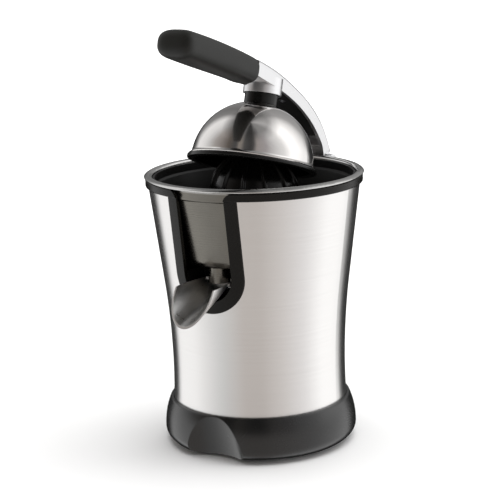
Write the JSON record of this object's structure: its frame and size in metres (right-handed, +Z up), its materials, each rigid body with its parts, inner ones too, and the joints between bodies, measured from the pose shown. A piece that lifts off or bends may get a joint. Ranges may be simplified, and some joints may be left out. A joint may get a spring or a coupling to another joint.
{
  "type": "citrus press juicer",
  "caption": "Electric citrus press: waisted steel drum on a black base, steel juice bowl, ribbed cone, hinged lever arm with a pressing dome and grip, and a tip-up spout.",
  "frame": {"origin": "on the floor under the cone axis, at the middle of the base", "axes": "+Z up along the cone axis, -Y toward the front (spout and grip), +X to the right seen from the front"},
  "size_m": [0.184, 0.2344, 0.3583],
  "materials": {
    "brushed_steel": "satin",
    "polished_steel": "polished",
    "chrome": "polished",
    "alloy": "satin",
    "black_satin": "satin",
    "black_gloss": "gloss",
    "soft_black": "matte",
    "rubber": "matte",
    "zinc_steel": "satin",
    "motor_steel": "satin",
    "magnet": "matte",
    "bronze": "satin",
    "white_nylon": "satin",
    "grey_plastic": "satin",
    "switch_blue": "satin"
  },
  "bodies": {
    "housing": {"base_shell": "black_satin", "bottom_plate": "black_satin", "rubber_feet": "rubber", "bottom_screws": "zinc_steel", "cord_gland": "rubber", "steel_jacket": "brushed_steel", "top_trim": "black_gloss", "spout_niche": "black_satin", "inner_tub": "grey_plastic", "juice_bowl": "polished_steel", "strainer": "black_satin", "hinge_bracket": "alloy", "hinge_pin": "zinc_steel", "bracket_screws": "zinc_steel", "motor_can": "motor_steel", "motor_magnets": "magnet", "motor_end_plate": "motor_steel", "idler_pin": "zinc_steel", "gearbox_case": "grey_plastic", "gearbox_screws": "zinc_steel", "shaft_bush": "bronze", "shaft_seal": "rubber", "return_spring": "zinc_steel", "microswitch": "switch_blue"},
    "rotor": {"rotor_core": "motor_steel", "rotor_shaft": "zinc_steel", "motor_pinion": "bronze"},
    "idler": {"idler_gear": "white_nylon"},
    "output_wheel": {"output_gear": "white_nylon"},
    "press_carrier": {"thrust_collar": "white_nylon"},
    "cone_drive": {"drive_shaft": "zinc_steel", "press_cone": "black_gloss"},
    "switch_lever": {"switch_lever": "zinc_steel"},
    "lever": {"lever_arm": "alloy", "arm_liner": "black_satin", "arm_screws": "zinc_steel", "grip": "soft_black", "hinge_bushes": "white_nylon", "friction_washers": "grey_plastic", "ball_retainer": "grey_plastic"},
    "dome": {"dome_shell": "polished_steel", "dome_liner": "black_gloss", "dome_neck": "black_gloss", "dome_screw": "zinc_steel"},
    "spout": {"spout_chute": "chrome"}
  },
  "joints": [
    {"name": "arm_hinge", "type": "hinge", "parent": "housing", "child": "lever", "pos_m": [0, 0.106, 0.221], "axis": [-1, 0, 0], "range_deg": [-15.5, 62]},
    {"name": "dome_tilt", "type": "hinge", "parent": "lever", "child": "dome", "pos_m": [0, 0.0194, 0.30029], "axis": [1, 0, 0], "range_deg": [-1.6, 6.4]},
    {"name": "press_slide", "type": "slide", "parent": "housing", "child": "press_carrier", "axis": [0, 0, -1], "range_m": [0, 0.0025], "stiffness_N_per_m": 1500, "springref_m": -0.004, "deforming": ["return_spring"]},
    {"name": "motor_spin", "type": "hinge", "parent": "housing", "child": "rotor", "pos_m": [0, 0, 0.06], "axis": [0, 0, 1], "continuous": true},
    {"name": "idler_spin", "type": "hinge", "parent": "housing", "child": "idler", "pos_m": [0, 0.024, 0.1], "axis": [0, 0, 1], "continuous": true},
    {"name": "output_spin", "type": "hinge", "parent": "housing", "child": "output_wheel", "pos_m": [0, 0, 0.11], "axis": [0, 0, 1], "continuous": true},
    {"name": "cone_spin", "type": "hinge", "parent": "press_carrier", "child": "cone_drive", "pos_m": [0, 0, 0.15], "axis": [0, 0, 1], "continuous": true},
    {"name": "switch_tip", "type": "hinge", "parent": "housing", "child": "switch_lever", "pos_m": [-0.0397, 0, 0.1364], "axis": [0, 1, 0], "range_deg": [0, 7.5]},
    {"name": "spout_flip", "type": "hinge", "parent": "housing", "child": "spout", "pos_m": [0, -0.066, 0.148], "axis": [-1, 0, 0], "range_deg": [0, 30]}
  ],
  "couplings": [
    {"joint": "idler_spin", "follows": "motor_spin", "ratio": -0.25},
    {"joint": "output_spin", "follows": "motor_spin", "ratio": 0.083333},
    {"joint": "cone_spin", "follows": "motor_spin", "ratio": 0.083333},
    {"joint": "switch_tip", "follows": "press_slide", "rad_per_m": 52.36}
  ]
}
